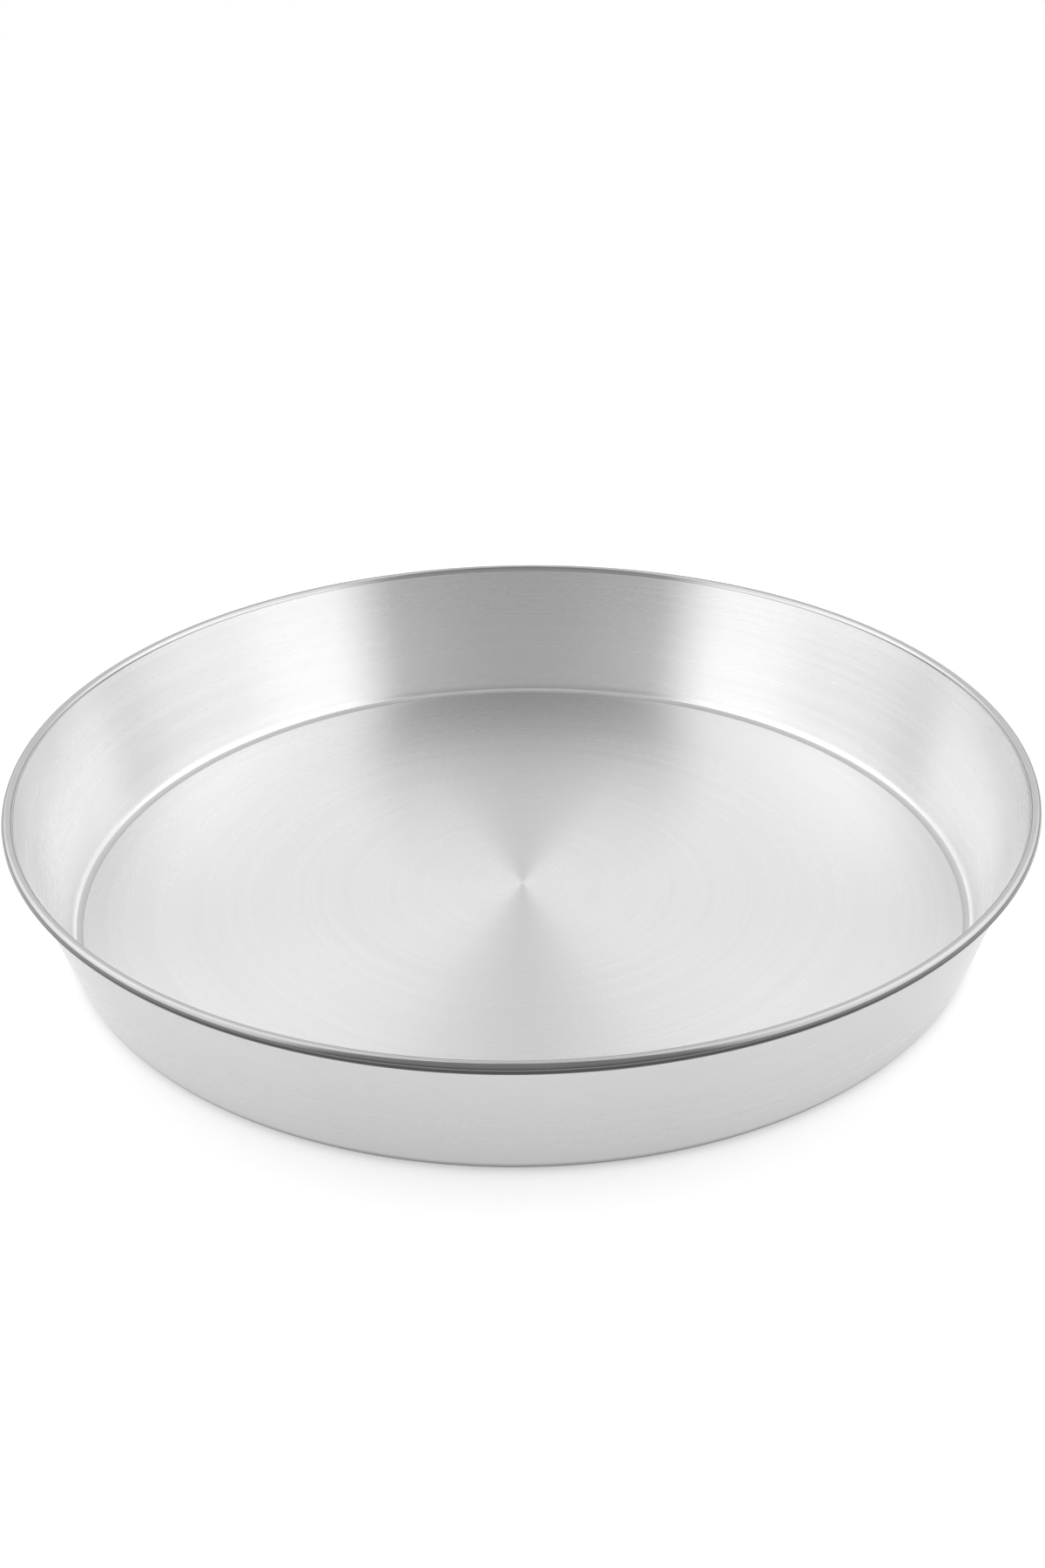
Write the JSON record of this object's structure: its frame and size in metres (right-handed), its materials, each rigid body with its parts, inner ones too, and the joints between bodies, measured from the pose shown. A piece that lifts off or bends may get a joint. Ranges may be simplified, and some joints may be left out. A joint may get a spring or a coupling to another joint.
{
  "type": "round baking tray",
  "caption": "Shallow round baking tray in brushed aluminium, with a flat floor, a flared wall and a rim rolled outward over a wire.",
  "frame": {"origin": "centre of the flat base, on the surface that the tray stands on", "axes": "+Z is the axis of revolution and points up out of the open mouth; X and Y lie in the plane of the base, with -Y towards the viewer of the picture"},
  "size_m": [0.36, 0.36, 0.052],
  "materials": {
    "spun_aluminium": "satin, brushed in circles round the axis",
    "steel_wire": "drawn and galvanised, matt grey"
  },
  "bodies": {
    "root": {"tray_shell": "spun_aluminium", "rim_wire": "steel_wire"}
  },
  "joints": []
}
